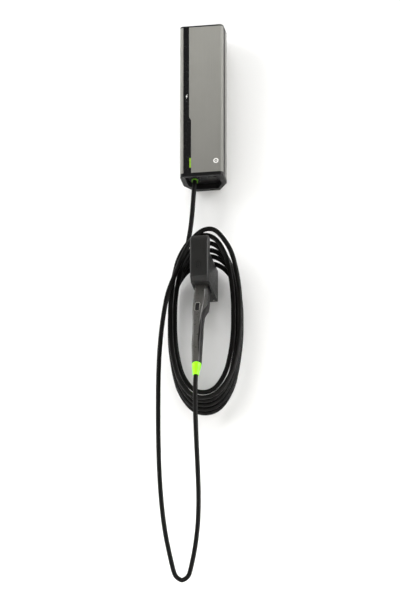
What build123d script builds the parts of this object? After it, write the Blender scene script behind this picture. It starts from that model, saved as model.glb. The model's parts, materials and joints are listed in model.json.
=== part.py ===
from build123d import *
from functools import cache
import math
import os

# Wall-mounted EV charge point with a cable holster, a coiled charging cable and a plug.
# +Z is up, the wall is the plane y = 0 and the front faces -Y. The origin is the centre of
# the charger's wall face. Millimetres. Each piece's function has the name of its file.

# ---------------- charger dimensions ----------------
CH_W = 140.0                  # width
CH_D = 125.0                  # depth, wall to front face
CH_TOP = 256.5                # top of the top cap
CH_BOT = -256.5               # lower end of the housings
CAP_T = 5.0                   # top cap thickness
LIP = 12.0                    # bottom cap skirt height
REAR_W = 80.0                 # width of the flat wall face
CHAMFER_Y = 50.0              # depth at which the rear chamfer meets the side
CORNER_R = 12.0               # front vertical corner radius
WALL_T = 3.0                  # housing wall thickness
BAND_Y0, BAND_Y1 = 81.0, 110.0    # depths of the recessed side band
BAND_OPEN_X = 62.0            # half width of the opening in the band
WALL_HOLE_X, WALL_HOLE_Z, WALL_HOLE_R = 50.0, 420.0, 3.5    # hole spacings and radius

HALF_W = CH_W / 2
REAR_HALF_W = REAR_W / 2
BODY_TOP = CH_TOP - CAP_T
SKIRT_Z = CH_BOT - LIP
CAP_SCREW_X, CAP_SCREW_Y = 62.0, -71.0

# window strip in the front cover: left edge, right edge above and below the step
STRIP_X0, STRIP_X1, STRIP_X2 = -58.0, -39.4, -33.0
STRIP_STEP_Z0, STRIP_STEP_Z1 = -73.0, -61.0
STRIP_BACK_Y, STRIP_FRONT_Y = -122.8, -124.7
INLAY_FRONT_Y, ICON_BACK_Y = -124.75, -124.2
LIGHT_X0, LIGHT_X1, LIGHT_Z0, LIGHT_Z1 = -38.4, -33.2, -238.0, -204.5
SENSOR_X, SENSOR_Z, SENSOR_BACK_Y = -47.6, -6.5, -123.6
ICON_OUTLINE = [              # lightning bolt, (x, z)
    (-45.9, 18.0), (-50.6, 9.8), (-47.4, 9.8), (-49.6, 2.6),
    (-44.2, 11.4), (-47.4, 11.4), (-44.9, 18.0)]
EMBLEM_X, EMBLEM_Z, EMBLEM_BACK_Y = 47.5, -219.0, -124.4
EMBLEM_DOTS = (EMBLEM_X - 2.0, EMBLEM_X + 2.0)

# bottom cap: recessed tub outside and inside, (x, y)
TUB_OUTER = [(-57.5, -117), (57.5, -117), (57.5, -52), (40, -15), (-40, -15), (-57.5, -52)]
TUB_INNER = [(-54.5, -114), (54.5, -114), (54.5, -51), (38, -18), (-38, -18), (-54.5, -51)]
TUB_FLOOR_Z = -250.0
SUPPLY_X, SUPPLY_Y = 25, -64
LOCK_X, LOCK_Y = -46, -98

CABLE_R = 7.5
CABLE_HOLE_R = CABLE_R + 0.1
GLAND = Vector(-28.0, -80.0, -264.0)
GLAND_TILT = 30.0
TILT_RAD = math.radians(GLAND_TILT)
GLAND_DIR = Vector(0.0, -math.sin(TILT_RAD), -math.cos(TILT_RAD))    # the cable leaves this way

# inside the charger
RAIL_X, RAIL_Z = 36, -100     # half length and height of the rail
RAIL_SCREW_X = 26
RAIL_FRONT_Y = -10.5
POLES_X = [-35 + k * 10 for k in range(3)]
TOGGLE_Y, TOGGLE_TILT = -66, 30
BOARD_BACK_Y, BOARD_FRONT_Y = -26.0, -27.6
BOARD_SCREWS = [(side * 32, z) for side in (-1, 1) for z in (14, 172)]
BOARD_BLOCKS = [              # x0, x1, front y, z0, z1
    (-18, 18, -30.2, 76, 112), (-44, -26, -43, 20, 62), (28, 46, -39, 30, 58),
    (-30, 30, -39, 150, 162), (22, 44, -35, 80, 104), (22, 44, -31, 116, 140)]
BOARD_CANS = [                # x, z, front y, radius
    (-36, 90, -48, 7.0), (-36, 108, -48, 7.0), (6, 46, -36, 5.0), (6, 62, -36, 5.0)]
WIRE_R = 2.0

# ---------------- holster and plug dimensions ----------------
HOL_X0, HOL_X1 = -26.5, 32.5
HOL_Z0, HOL_ZARM, HOL_ZTOP = -655.0, -549.5, -496.0
HOL_BROW_Z = -522.5           # where the rounded brow leaves the front face
HOL_D, HOL_LIP_Y = 187.0, 150.0
HOL_BACK_Y = -2.5
HOL_BOLT_X, HOL_BOLTS_Z = 3.0, (-632.0, -572.0)
HOL_SCREWS_X, HOL_SCREW_Y = (-16, 22), -14
HOL_MARK_X, HOL_MARK_Z = 1.0, -602.0

PLUG_MOUTH = (2.0, -110.0, -655.0)    # centre of the holster mouth
PLUG_TILT_X, PLUG_TILT_Y = -10.0, 2.16
PLUG_TURN = -8.0              # the plug's turn about its own axis
NOSE_R = 19.5
BUTTON_Z = -90.0              # thumb button, from the holster mouth along the plug axis
LATCH_Y, LATCH_Z = -23.0, -40.0   # latch pivot
HANDLE_SCREWS = [             # x, z, front end of the post, seat of the head (both y)
    (-10.5, -62.0, -12, 13), (10.5, -62.0, -12, 13),
    (-8.5, -180.0, -60, -8), (8.5, -180.0, -60, -8)]
HANDLE_STATIONS = [           # distance below mouth, width, depth, forward offset, front narrowing
    (-26, 38.5, 57, -1, 0.06), (0, 39, 58, -1, 0.06), (25, 40.5, 60, -2, 0.07),
    (45, 41.5, 63, -2.5, 0.08), (70, 41, 67, 0.5, 0.10), (90, 39.5, 56, 8.5, 0.14),
    (118, 35, 43, 16.5, 0.20), (156, 32, 38.5, 14.5, 0.26), (185, 32, 37.5, 11, 0.28),
    (213, 32, 37, 10.5, 0.28), (251, 30, 31.5, 4, 0.2), (283, 28.5, 28.5, 0, 0.0)]
CAVITY_TOP, CAVITY_END = -22, (277, 28.8, 29, 0.6, 0.02)
HANDLE_SPLIT = [              # front side of the parting line, (y, z)
    (-90, 40), (-17, 40), (-17, 10), (-19, -60), (-24, -112),
    (-20, -150), (-15, -200), (-8, -250), (-5, -290), (-90, -290)]
PINS = [                      # x, y, hole radius
    (-7.2, 6.0, 3.1), (7.2, 6.0, 3.1), (0, -8.5, 2.6), (-9.0, -4.0, 1.5), (9.0, -4.0, 1.5)]

# Plug frame: local +Z runs up the plug axis, local -Y is its front.
HOLSTER_LOC = Location(PLUG_MOUTH, (PLUG_TILT_X, PLUG_TILT_Y, 0))
PLUG_LOC = HOLSTER_LOC * Rot(0, 0, PLUG_TURN)


# ---------------- shape helpers ----------------
def box(x0, x1, y0, y1, z0, z1):
    centre = Pos((x0 + x1) / 2, (y0 + y1) / 2, (z0 + z1) / 2)
    return centre * Box(abs(x1 - x0), abs(y1 - y0), abs(z1 - z0))


def rod_z(x, y, z0, z1, r):
    return Pos(x, y, (z0 + z1) / 2) * Cylinder(r, abs(z1 - z0))


def rod_y(x, z, y0, y1, r):
    return Pos(x, (y0 + y1) / 2, z) * Rot(90, 0, 0) * Cylinder(r, abs(y1 - y0))


def rod_x(y, z, x0, x1, r):
    return Pos((x0 + x1) / 2, y, z) * Rot(0, 90, 0) * Cylinder(r, abs(x1 - x0))


def prism_z(points, z0, z1, rounding=()):
    """Prism over (x, y) points; rounding holds (point, radius) pairs."""
    face = make_face(Polyline(*points, close=True))
    for (x, y), radius in rounding:
        corner = [v for v in face.vertices() if abs(v.X - x) < 0.01 and abs(v.Y - y) < 0.01]
        face = fillet(corner, radius)
    return extrude(Plane.XY.offset(z0) * face, z1 - z0)


def prism_x(points, x0, x1):
    """Prism over (y, z) points."""
    face = make_face(Polyline(*[(x0, y, z) for y, z in points], close=True))
    return extrude(face, amount=x1 - x0, dir=(1, 0, 0))


def prism_y(points, y0, y1):
    """Prism over (x, z) points, with y0 < y1."""
    face = make_face(Polyline(*[(x, y0, z) for x, z in points], close=True))
    return extrude(face, amount=y1 - y0, dir=(0, 1, 0))


def rounded_block(width, depth, radius, z0, z1):
    return extrude(Plane.XY.offset(z0) * RectangleRounded(width, depth, radius), z1 - z0)


def group(items):
    return Compound(children=list(items))


def largest(shape):
    return shape.solids().sort_by(SortBy.VOLUME)[-1]


def outline(z0, z1, inset=0.0, front_r=CORNER_R, side_r=5.0, rear_r=4.0):
    """Charger outline as a prism, moved inward by inset."""
    chamfer_len = math.hypot(HALF_W - REAR_HALF_W, CHAMFER_Y)
    side_y = -CHAMFER_Y - inset * (chamfer_len - (HALF_W - REAR_HALF_W)) / CHAMFER_Y
    rear_x = REAR_HALF_W - inset * (chamfer_len - CHAMFER_Y) / (HALF_W - REAR_HALF_W)
    side_x = HALF_W - inset
    front_y = -CH_D + inset
    pts = [(-side_x, front_y), (side_x, front_y), (side_x, side_y),
           (rear_x, -inset), (-rear_x, -inset), (-side_x, side_y)]
    rounding = [(pts[0], front_r), (pts[1], front_r), (pts[2], side_r), (pts[5], side_r),
                (pts[3], rear_r), (pts[4], rear_r)]
    return prism_z(pts, z0, z1, rounding)


# ---------------- charger housing ----------------
def rear_housing():
    """Chamfered shell, open to the front."""
    inner = outline(CH_BOT - 1, BODY_TOP + 1, inset=WALL_T, front_r=9.0, side_r=3.5, rear_r=2.5)
    shell = outline(CH_BOT, BODY_TOP) - inner
    rear = shell & box(-80, 80, -BAND_Y0, 1, -400, 400)
    for side in (-1, 1):      # screw bosses along the sides
        rear += box(side * 58, side * 67.5, -76, -66, CH_BOT, BODY_TOP)
        x = side * CAP_SCREW_X
        rear -= rod_z(x, CAP_SCREW_Y, BODY_TOP - 16, BODY_TOP + 1, 1.75)
        rear -= rod_z(x, CAP_SCREW_Y, CH_BOT - 1, CH_BOT + 16, 1.75)
    rear -= [rod_y(side * WALL_HOLE_X / 2, end * WALL_HOLE_Z / 2, -6, 1, WALL_HOLE_R)
             for side in (-1, 1) for end in (-1, 1)]
    for side in (-1, 1):
        rear -= rod_y(side * RAIL_SCREW_X, RAIL_Z, -6, 1, 1.6)
    for side in (-1, 1):      # three long grooves on each side
        for y in (-60.0, -66.0, -72.0):
            rear -= box(side * (HALF_W - 0.6), side * (HALF_W + 1), y - 0.6, y + 0.6,
                        CH_BOT - 1, BODY_TOP + 1)
    return rear


def middle_band():
    """Recessed frame between the rear housing and the front cover."""
    half_w = HALF_W - 1
    band = box(-half_w, half_w, -BAND_Y1, -BAND_Y0, CH_BOT, BODY_TOP)
    band -= box(-BAND_OPEN_X, BAND_OPEN_X, -BAND_Y1 - 1, -BAND_Y0 + 1, CH_BOT - 1, BODY_TOP + 1)
    bar_x = BAND_OPEN_X + 0.5
    band += box(-bar_x, bar_x, -BAND_Y1 + 4, -BAND_Y0, BODY_TOP - 5, BODY_TOP)
    band += box(-bar_x, bar_x, -BAND_Y1, -BAND_Y0, -236, -231)
    for side in (-1, 1):
        for y in (-88.0, -95.5, -103.0):
            band -= box(side * (half_w - 0.8), side * (half_w + 1), y - 0.8, y + 0.8,
                        CH_BOT - 1, BODY_TOP + 1)
    return band


def strip_profile(gap, z0, z1):
    """Stepped (x, z) outline of the window strip, narrowed by gap on each side."""
    left, upper, lower = STRIP_X0 + gap, STRIP_X1 - gap, STRIP_X2 - gap
    return [(left, z0), (lower, z0), (lower, STRIP_STEP_Z0),
            (upper, STRIP_STEP_Z1), (upper, z1), (left, z1)]


def front_cover():
    """Tray with a channel for the window strip and a sunk emblem."""
    cover = outline(CH_BOT, BODY_TOP) & box(-80, 80, -130, -BAND_Y1, -400, 400)
    cover -= outline(CH_BOT - 1, BODY_TOP + 1, inset=WALL_T, front_r=9.0)
    cover += box(-66, 66, -122.5, -121.5, CH_BOT, BODY_TOP)
    cover -= prism_y(strip_profile(0, CH_BOT - 1, BODY_TOP + 1), -130, STRIP_BACK_Y)
    cover += box(-54, -42, -121.6, -104, -239.4, -237.4)    # catch for the lock cam
    cover -= (rod_y(EMBLEM_X, EMBLEM_Z, -126, EMBLEM_BACK_Y, 8.4)
              - rod_y(EMBLEM_X, EMBLEM_Z, -126, EMBLEM_BACK_Y, 5.2))
    for x in EMBLEM_DOTS:
        cover -= rod_y(x, EMBLEM_Z, -126, EMBLEM_BACK_Y, 1.3)
    return cover


def emblem():
    """Round socket pictogram let into the cover: a ring and two dots."""
    front_y = -CH_D - 0.05
    mark = [rod_y(EMBLEM_X, EMBLEM_Z, front_y, EMBLEM_BACK_Y, 8.35)
            - rod_y(EMBLEM_X, EMBLEM_Z, -126, -124, 5.25)]
    mark += [rod_y(x, EMBLEM_Z, front_y, EMBLEM_BACK_Y, 1.25) for x in EMBLEM_DOTS]
    return group(mark)


def window_strip():
    """Strip with recesses for its inlays."""
    strip = prism_y(strip_profile(0.2, CH_BOT, BODY_TOP), STRIP_FRONT_Y, STRIP_BACK_Y)
    strip -= box(LIGHT_X0 - 0.1, -25, -126, -120, LIGHT_Z0 - 0.1, LIGHT_Z1 + 0.1)
    strip -= prism_y(ICON_OUTLINE, -126, ICON_BACK_Y)
    strip -= rod_y(SENSOR_X, SENSOR_Z, -126, SENSOR_BACK_Y, 1.6)
    return strip


def charge_icon():
    return prism_y(ICON_OUTLINE, INLAY_FRONT_Y, ICON_BACK_Y)


def light_sensor():
    return rod_y(SENSOR_X, SENSOR_Z, INLAY_FRONT_Y, SENSOR_BACK_Y, 1.55)


def status_light():
    return box(LIGHT_X0, LIGHT_X1, -124.9, STRIP_BACK_Y, LIGHT_Z0, LIGHT_Z1)


def cover_gasket():
    """Sealing cord between the band and the front cover."""
    gasket = box(-66.5, 66.5, -112.4, -BAND_Y1, -235.5, BODY_TOP - 0.5)
    return gasket - box(-62.6, 62.6, -114, -109, -231.5, BODY_TOP - 4.5)


def top_cap():
    top = outline(BODY_TOP, CH_TOP)
    top = chamfer(top.faces().sort_by(Axis.Z)[-1].edges(), 0.8)
    for side in (-1, 1):
        x = side * CAP_SCREW_X
        top -= rod_z(x, CAP_SCREW_Y, BODY_TOP - 1, CH_TOP + 1, 2.1)
        top -= rod_z(x, CAP_SCREW_Y, CH_TOP - 2.4, CH_TOP + 1, 4.1)
    return top


def gland_point(t):
    return GLAND + GLAND_DIR * t


def gland_rod(t0, t1, r):
    centre = gland_point((t0 + t1) / 2)
    return Pos(*centre) * Rot(-GLAND_TILT, 0, 0) * Cylinder(r, abs(t1 - t0))


def bottom_cap():
    """Skirt, recessed tub and angled gland boss."""
    cap = outline(SKIRT_Z, CH_BOT)
    cap += prism_z(TUB_OUTER, CH_BOT - 1, TUB_FLOOR_Z + 3)
    cap -= prism_z(TUB_INNER, SKIRT_Z - 1, TUB_FLOOR_Z, [(p, 4.0) for p in TUB_INNER])
    cap = chamfer(cap.faces().sort_by(Axis.Z)[0].outer_wire().edges(), 1.0)
    cap += gland_rod(-28, -6, 16.0) & box(-60, 0, -113, -40, SKIRT_Z + 0.5, -238)
    cap -= gland_rod(-40, 8, 10.1)
    cap -= rod_z(SUPPLY_X, SUPPLY_Y, -260, -240, 12.1)
    cap -= rod_z(LOCK_X, LOCK_Y, -260, -240, 4.6)
    for side in (-1, 1):
        x = side * CAP_SCREW_X
        cap -= rod_z(x, CAP_SCREW_Y, SKIRT_Z - 1, CH_BOT + 2, 2.1)
        cap -= rod_z(x, CAP_SCREW_Y, SKIRT_Z - 1, SKIRT_Z + 3.0, 4.1)
    return cap


def cap_screws():
    """Two slotted screws through each cap."""
    screws = []
    for tip_z, seat_z, head_z in ((BODY_TOP - 12, CH_TOP - 2.4, CH_TOP - 0.3),
                                  (CH_BOT + 12, SKIRT_Z + 3.0, SKIRT_Z + 0.4)):
        for side in (-1, 1):
            x = side * CAP_SCREW_X
            screws.append(rod_z(x, CAP_SCREW_Y, tip_z, seat_z, 1.7)
                          + rod_z(x, CAP_SCREW_Y, seat_z, head_z, 3.9)
                          - Pos(x, CAP_SCREW_Y, head_z) * Box(5, 1.0, 2.0))
    return group(screws)


def gland_body():
    return gland_rod(-36, -6, 10.0) + gland_rod(-6, 0, 11.5) - gland_rod(-40, 10, CABLE_HOLE_R)


def gland_ring():
    return fillet(gland_rod(0, 6, 10.6).edges(), 1.6) - gland_rod(-10, 10, CABLE_HOLE_R)


def gland_locknut():
    nut = extrude(RegularPolygon(13.5, 6), 3.0, both=True)
    nut = Pos(*gland_point(-31.05)) * Rot(-GLAND_TILT, 0, 0) * nut
    return nut - gland_rod(-40, 8, 10.1)


def supply_plug():
    return (rod_z(SUPPLY_X, SUPPLY_Y, -253.5, TUB_FLOOR_Z, 15)
            + rod_z(SUPPLY_X, SUPPLY_Y, TUB_FLOOR_Z, -240, 12.0))


def lock_barrel():
    barrel = rod_z(LOCK_X, LOCK_Y, -254.5, TUB_FLOOR_Z, 6.5)
    barrel += rod_z(LOCK_X, LOCK_Y, -250.5, -243.0, 4.5)
    return barrel - box(LOCK_X - 1, LOCK_X + 1, LOCK_Y - 4.5, LOCK_Y + 4.5, -256, -252.5)


def lock_cam():
    return (rod_z(LOCK_X, LOCK_Y, -243.0, -240.0, 5.0)
            + box(LOCK_X - 3.5, LOCK_X + 3.5, LOCK_Y - 12, LOCK_Y, -243.0, -240.0))


# ---------------- inside the charger ----------------
def din_rail():
    """Hat rail: web at the wall, two flanges and two outward lips."""
    rail = box(-RAIL_X, RAIL_X, -4.0, -3.0, RAIL_Z - 13, RAIL_Z + 13)
    for side in (-1, 1):
        rail += box(-RAIL_X, RAIL_X, RAIL_FRONT_Y, -3.0, RAIL_Z + side * 13,
                    RAIL_Z + (14 if side > 0 else -14))
        rail += box(-RAIL_X, RAIL_X, RAIL_FRONT_Y, RAIL_FRONT_Y + 1, RAIL_Z + side * 13,
                    RAIL_Z + side * 17.5)
    for side in (-1, 1):
        rail -= rod_y(side * RAIL_SCREW_X, RAIL_Z, -8, 0, 2.2)
    return rail


def rail_screws():
    return group([rod_y(side * RAIL_SCREW_X, RAIL_Z, -4.0, -0.4, 1.55)
                  + rod_y(side * RAIL_SCREW_X, RAIL_Z, -6.2, -4.0, 3.2) for side in (-1, 1)])


def contactor():
    body = box(-41.5, -8, -72, RAIL_FRONT_Y, RAIL_Z - 42, RAIL_Z + 42)
    body -= box(-50, 0, -80, -62, -150, -128)
    body -= box(-50, 0, -80, -62, -72, -50)
    body += box(-38, -12, -78, -72, -118, -82)
    for x in POLES_X:
        body -= rod_y(x, RAIL_Z - 35, -80, -52, 2.6)
        body -= rod_y(x, RAIL_Z + 35, -80, -52, 2.6)
    return body


def rcbo_body():
    """Breaker body with a recess and two bearing bosses for the toggle."""
    body = box(-6, 30, -60, RAIL_FRONT_Y, RAIL_Z - 42, RAIL_Z + 42)
    body += box(-6, 30, -70, -60, -122, -78)
    body -= box(5, 19, -71, -61, -112, -88)
    for x in (3, 21):
        body -= rod_y(x, RAIL_Z - 34, -70, -50, 2.6)
        body -= rod_y(x, RAIL_Z + 34, -70, -50, 2.6)
    body += rod_x(TOGGLE_Y, RAIL_Z, 4.9, 7.5, 3.0) + rod_x(TOGGLE_Y, RAIL_Z, 16.5, 19.1, 3.0)
    body -= rod_x(TOGGLE_Y, RAIL_Z, 5.5, 18.5, 1.86)
    return body


def rcbo_toggle():
    toggle = rod_x(TOGGLE_Y, RAIL_Z, 8, 16, 4.5)
    toggle += box(9, 15, -79, TOGGLE_Y, RAIL_Z - 2.2, RAIL_Z + 2.2)
    toggle -= rod_x(TOGGLE_Y, RAIL_Z, 6, 18, 1.9)
    pivot = Pos(0, TOGGLE_Y, RAIL_Z)
    return pivot * Rot(TOGGLE_TILT, 0, 0) * Pos(0, -TOGGLE_Y, -RAIL_Z) * toggle


def toggle_pin():
    return rod_x(TOGGLE_Y, RAIL_Z, 5.6, 18.4, 1.85)


def terminal_block():
    block = box(31.5, 41.5, -48, RAIL_FRONT_Y, RAIL_Z - 28, RAIL_Z + 28)
    for k in range(5):
        z = -125 + k * 11
        block -= box(33, 40, -49, -40, z, z + 7)
        block -= rod_y(36.5, z + 3.5, -41, -34, 2.5)
    return block


def power_supply():
    case = box(-33, 33, -36, -3.0, -48, -6)
    case = fillet(case.edges().filter_by(Axis.Y), 2.0)
    for k in range(7):
        z = -43 + k * 5.2
        case -= box(-24, 24, -37, -34.5, z, z + 2.4)
    return case


def controller_board():
    board = box(-50, 50, BOARD_FRONT_Y, BOARD_BACK_Y, 8, 178)
    for x, z in BOARD_SCREWS:
        board -= rod_y(x, z, -40, -20, 1.6)
    return board


def board_standoffs():
    return group([rod_y(x, z, BOARD_BACK_Y, -3.0, 3.5)
                  + rod_y(x, z, BOARD_FRONT_Y, BOARD_BACK_Y, 1.5)
                  + rod_y(x, z, -29.4, BOARD_FRONT_Y, 3.0) for x, z in BOARD_SCREWS])


def board_components():
    blocks = [box(x0, x1, y, BOARD_FRONT_Y, z0, z1) for x0, x1, y, z0, z1 in BOARD_BLOCKS]
    return group(blocks + [rod_y(x, z, y, BOARD_FRONT_Y, r) for x, z, y, r in BOARD_CANS])


def led_board():
    return box(-60, -36.5, -121.0, -119.5, -228, 26)


# ---------------- cable ----------------
def arc_chain(points):
    """Lines and tangent arcs: each way point is rounded as far as its neighbours allow."""
    edges = []
    current = points[0]
    last = len(points) - 1
    for i in range(1, last):
        corner = points[i]
        back, ahead = points[i - 1] - corner, points[i + 1] - corner
        reach = min(back.length * (0.9 if i == 1 else 0.5),
                    ahead.length * (0.9 if i == last - 1 else 0.5))
        back, ahead = back.normalized(), ahead.normalized()
        angle = math.acos(max(-1.0, back.dot(ahead)))
        if math.pi - angle < 1e-3:
            continue
        start, end = corner + back * reach, corner + ahead * reach
        radius = reach * math.tan(angle / 2)
        bisector = (back + ahead).normalized()
        middle = corner + bisector * (reach / math.cos(angle / 2) - radius)
        if (start - current).length > 0.02:
            edges.append(Line(current, start))
        else:
            start = current
        edges.append(ThreePointArc(start, middle, end))
        current = end
    edges.append(Line(current, points[-1]))
    return edges


def tube(points, r):
    """Cylinders and torus pieces that share their end circles, closed with two end discs."""
    points = [Vector(*p) for p in points]
    ends = (points[0], points[-1])
    faces = []
    for edge in arc_chain(points):
        piece = sweep(Plane(origin=edge @ 0, z_dir=edge % 0) * Circle(r), path=edge)
        for face in piece.faces():
            if (face.geom_type != GeomType.PLANE
                    or min((face.center() - end).length for end in ends) < 0.01):
                faces.append(face)
    return Solid(Shell(faces))


# way points from the gland down to the coil
FEED = [gland_point(-30), gland_point(7), gland_point(24),
        (-32.0, -82.0, -316.0), (-38.0, -66.0, -358.0), (-46.0, -49.0, -405.0),
        (-57.5, -34.0, -457.0), (-77.0, -23.0, -522.0), (-97.5, -16.5, -598.0)]
COIL_PITCH = 15.6
COIL_Y0 = -18.5               # centre of the first strand, off the wall
COIL_MID_X = 3.0              # x of the lowest and highest point of each turn
COIL_MID_Z = -745.0           # height of the widest points
COIL_POWER = 2.25             # superellipse exponent of the turns
CORNERS = 3                   # way points per quarter turn
# extremes of the six turns, from the wall outward
LEFT_X = [-118.0, -116.0, -106.0, -98.0, -92.5, -104.5]
BOTTOM_Z = [-1047.0, -1040.0, -1032.0, -1024.5, -1001.9, -1025.5]
RIGHT_X = [110.5, 114.5, 112.0, 108.0, 97.0, 121.5]
TOP_Z = [-533.0, -515.0, -500.0, -482.0, -461.0, -446.0]
# from the top of the last turn down to the hanging loop
LEG_DOWN = [
    (3.0, -109.0, -446.5), (-32.3, -110.5, -478.5), (-63.7, -112.5, -537.4),
    (-86.7, -113.8, -602.1), (-109.0, -114.0, -655.0), (-121.5, -113.5, -720.0),
    (-131.0, -112.5, -790.0), (-137.6, -112.0, -870.0), (-140.8, -112.0, -970.0),
    (-140.9, -112.0, -1130.0), (-137.6, -112.0, -1270.0), (-130.6, -112.0, -1380.0),
    (-120.0, -112.0, -1475.0), (-106.5, -112.0, -1548.0), (-94.0, -112.0, -1606.0)]
# from the hanging loop up towards the plug
LEG_UP = [
    (-33.0, -116.0, -1606.0), (-20.5, -121.5, -1550.0), (-9.5, -129.0, -1470.0),
    (-5.8, -137.0, -1390.0), (-7.3, -145.0, -1300.0), (-10.3, -152.0, -1210.0),
    (-13.0, -160.0, -1110.0)]
PLUG_ENTRY = [(HOLSTER_LOC * Pos(0, 0, z)).position for z in (-352, -329, -262)]
# the two halves of the hanging loop meet at its lowest point with one direction
LOW_A, LOW_B = Vector(-83.0, -112.0, -1651.0), Vector(-44.0, -113.0, -1651.0)
LOW = LOW_A + (LOW_B - LOW_A) * 0.5


def coil_quarter(side_x, end_z, y0, y1, from_side):
    """Way points of a quarter turn, from its side to its end or the other way."""
    outward = 1 / math.cos(math.pi / 4 / CORNERS)    # puts the corners outside the curve
    pts = []
    for i in range(CORNERS):
        part = (i + 0.5) / CORNERS
        angle = math.pi / 2 * (part if from_side else 1 - part)
        across = math.cos(angle) ** (2 / COIL_POWER)
        along = math.sin(angle) ** (2 / COIL_POWER)
        pts.append((COIL_MID_X + (side_x - COIL_MID_X) * across * outward,
                    y0 + (y1 - y0) * part,
                    COIL_MID_Z + (end_z - COIL_MID_Z) * along * outward))
    return pts


def coil_points():
    """Each turn goes down on the left, up on the right and steps away from the wall."""
    pts = []
    step = COIL_PITCH / 4
    turns = len(LEFT_X)
    for k in range(turns):
        y = COIL_Y0 - k * COIL_PITCH
        pts += coil_quarter(LEFT_X[k], BOTTOM_Z[k], y, y - step, True)
        pts += coil_quarter(RIGHT_X[k], BOTTOM_Z[k], y - step, y - 2 * step, False)
        pts += coil_quarter(RIGHT_X[k], TOP_Z[k], y - 2 * step, y - 3 * step, True)
        if k < turns - 1:
            pts += coil_quarter(LEFT_X[k + 1], TOP_Z[k], y - 3 * step, y - 4 * step, False)
    return pts


def charging_cable():
    return tube(FEED + coil_points() + LEG_DOWN + [LOW_A, LOW], CABLE_R)


def cable_leg():
    return tube([LOW, LOW_B] + LEG_UP + PLUG_ENTRY, CABLE_R)


def load_wires():
    """One wire down from each contactor pole."""
    wires = []
    for k, x in enumerate(POLES_X):
        low_x = -33 + k * 5.0
        wires.append(tube([(x, -64, -142.5), (x, -63.0, -160), (low_x, -62.0, -200),
                           (low_x, -62.0, -236.0)], WIRE_R))
    return group(wires)


# ---------------- holster ----------------
def holster_body():
    # side profile in (y, z): rounded brow at the upper front, bevel at the lower front
    front = -HOL_D
    brow_low, brow_top = (front, HOL_BROW_Z), (front + 19, HOL_ZTOP)
    corners = [brow_top, (-HOL_LIP_Y - 6, HOL_ZTOP), (-HOL_LIP_Y, HOL_ZTOP - 6),
               (-HOL_LIP_Y, HOL_ZARM), (HOL_BACK_Y, HOL_ZARM), (HOL_BACK_Y, HOL_Z0),
               (front + 13, HOL_Z0), (front, HOL_Z0 + 14), brow_low]
    profile = [Spline(brow_low, (front + 5.6, HOL_ZTOP - 7.9), brow_top,
                      tangents=[(0, 1), (1, 0)])]
    profile += [Line(start, end) for start, end in zip(corners, corners[1:])]
    body = extrude(Plane.YZ.offset(HOL_X0) * make_face(profile), HOL_X1 - HOL_X0)
    front_edges = [
        e for e in body.edges() if e.center().Y < front + 14
        and (abs(e.center().X - HOL_X0) < 0.01 or abs(e.center().X - HOL_X1) < 0.01)]
    body = fillet(front_edges, 6.5)
    body -= (box(HOL_X0 + 3, HOL_X1 - 3, -HOL_LIP_Y + 3, 0, HOL_Z0 + 3, HOL_ZARM - 3)
             + box(HOL_X0 + 6, HOL_X1 - 6, front + 4, -HOL_LIP_Y + 3.5,
                   HOL_Z0 + 20, HOL_BROW_Z + 2))
    # wall between the two cavities
    body += box(HOL_X0 + 1, HOL_X1 - 1, -HOL_LIP_Y + 3.2, -HOL_LIP_Y, HOL_Z0 + 3, HOL_ZARM)
    body -= HOLSTER_LOC * rounded_block(51, 71, 14, -40, 31.4)
    # sunk capsule-shaped socket pictogram
    mark_y = front + 0.9
    capsule = extrude(RectangleRounded(16, 26, 7.9), 3) - extrude(RectangleRounded(12, 22, 5.9), 4)
    body -= Pos(HOL_MARK_X, mark_y, HOL_MARK_Z) * Rot(90, 0, 0) * capsule
    body -= (rod_y(HOL_MARK_X, HOL_MARK_Z - 4.0, front - 1, mark_y, 1.5)
             + rod_y(HOL_MARK_X, HOL_MARK_Z + 4.0, front - 1, mark_y, 1.5))
    for x in HOL_SCREWS_X:
        body -= rod_z(x, HOL_SCREW_Y, HOL_Z0 - 1, HOL_Z0 + 4, 2.1)
    return largest(body)


def holster_plate():
    """Wall plate with a foot for the holster screws."""
    x0, x1, z0, z1 = HOL_X0 + 3.2, HOL_X1 - 3.2, HOL_Z0 + 3.2, HOL_ZARM - 3.2
    plate = box(x0, x1, HOL_BACK_Y, 0, z0, z1) + box(x0, x1, -22, 0, z0, HOL_Z0 + 5.7)
    plate += box(HOL_X0, HOL_X1, -2.4, 0, HOL_Z0, HOL_ZARM)
    for z in HOL_BOLTS_Z:
        plate -= rod_y(HOL_BOLT_X, z, -6, 1, 3.0)
    for x in HOL_SCREWS_X:
        plate -= rod_z(x, HOL_SCREW_Y, HOL_Z0 + 1, HOL_Z0 + 8, 2.0)
    return plate


def holster_screws():
    return group([rod_z(x, HOL_SCREW_Y, HOL_Z0 - 2.2, HOL_Z0, 3.6)
                  + rod_z(x, HOL_SCREW_Y, HOL_Z0, HOL_Z0 + 8, 1.95)
                  - box(x - 2.5, x + 2.5, HOL_SCREW_Y - 0.5, HOL_SCREW_Y + 0.5,
                        HOL_Z0 - 3, HOL_Z0 - 1) for x in HOL_SCREWS_X])


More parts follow.
